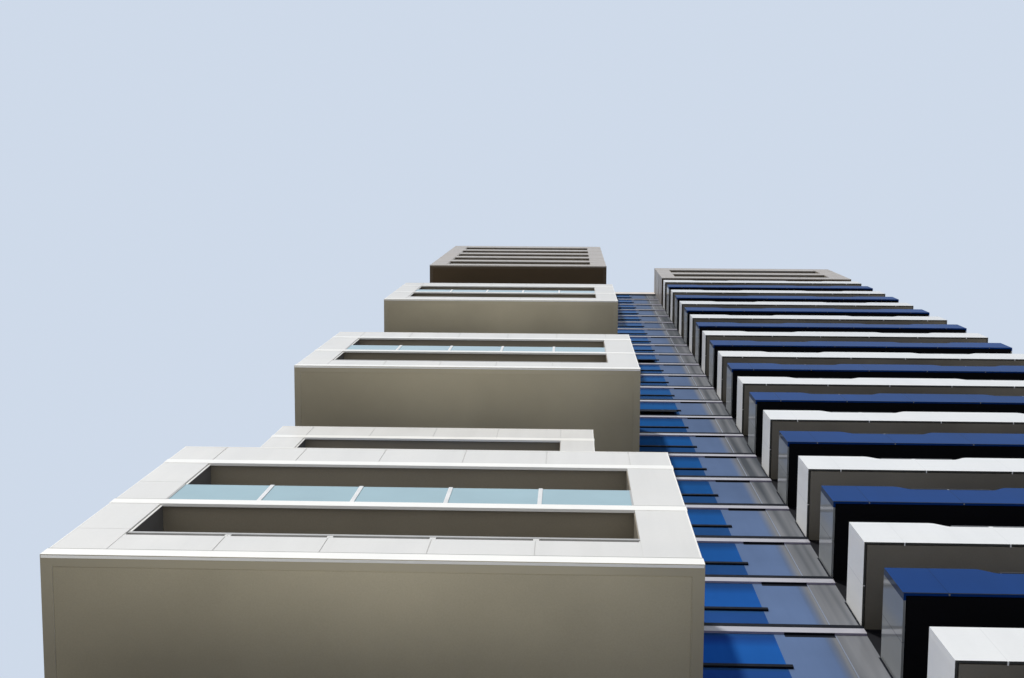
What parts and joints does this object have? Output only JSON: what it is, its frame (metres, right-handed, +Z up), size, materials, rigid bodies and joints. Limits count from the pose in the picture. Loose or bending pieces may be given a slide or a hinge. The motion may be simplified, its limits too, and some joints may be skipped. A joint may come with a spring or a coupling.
{
  "type": "apartment block scale model at 1:10",
  "caption": "Slim apartment tower with stacked loggia boxes on one side, a flat glazed link and a wing of wavy balcony trays, at one tenth of its real size.",
  "frame": {"origin": "on the ground under the middle of the whole footprint", "axes": "+Z up, +X to the right along the street front as seen from the street, +Y into the building"},
  "size_m": [2.4, 2.2, 9.363],
  "materials": {
    "concrete": "plain cast concrete, matt",
    "wall_grey": "grey-blue panel facing, semi-gloss",
    "coping_beige": "beige metal coping, satin",
    "strip_grey": "lilac-grey slab edge strip, satin",
    "window_glass": "tinted window glass",
    "cladding_glossy": "glossy grey-blue cladding panel",
    "black_metal": "black coated metal, satin",
    "soffit_taupe": "warm taupe soffit panel, matt",
    "box_panel": "light grey-white panel, satin",
    "box_edge": "near white edge flashing, satin",
    "balustrade_glass": "pale frosted aqua glass",
    "post_white": "white post, satin",
    "crown_beige": "beige panel, satin",
    "crown_soffit": "dark brown soffit panel, satin",
    "pale_tray": "pale parapet panel, satin",
    "pale_tray_soffit": "dark olive-grey soffit, satin",
    "dark_tray": "very dark blue panel, high gloss",
    "rail_grey": "grey rail, satin"
  },
  "bodies": {
    "root": {"ground_slab": "concrete", "floor_slabs": "concrete", "roof_slab": "concrete", "roof_coping": "coping_beige", "lobby_front_left": "wall_grey", "lobby_front_right": "wall_grey", "lobby_lintel": "wall_grey", "front_wall": "wall_grey", "left_wall": "wall_grey", "right_wall": "wall_grey", "back_wall": "wall_grey", "slab_edge_strips": "strip_grey", "front_glass": "window_glass", "left_glass": "window_glass", "right_glass": "window_glass", "back_glass": "window_glass", "link_cladding": "cladding_glossy", "link_transoms": "black_metal", "link_vents": "black_metal", "deep_box_soffits": "soffit_taupe", "deep_box_beams": "box_edge", "deep_box_piers": "box_panel", "deep_box_floors": "box_edge", "deep_box_parapets": "box_panel", "deep_box_spandrels": "box_panel", "deep_box_panes": "balustrade_glass", "deep_box_posts": "post_white", "shallow_box_soffits": "soffit_taupe", "shallow_box_beams": "box_edge", "shallow_box_piers": "box_panel", "shallow_box_floors": "box_edge", "shallow_box_parapets": "box_panel", "shallow_box_spandrels": "box_panel", "crown_soffits": "crown_soffit", "crown_beams": "crown_beige", "crown_piers": "crown_beige", "crown_floors": "crown_beige", "crown_parapets": "crown_beige", "crown_spandrels": "crown_beige", "pale_tray_floors": "pale_tray_soffit", "pale_tray_fronts": "pale_tray", "pale_tray_sides": "pale_tray", "dark_tray_floors": "black_metal", "dark_tray_fronts": "dark_tray", "dark_tray_sides": "dark_tray", "tray_handrails": "rail_grey"}
  },
  "joints": []
}
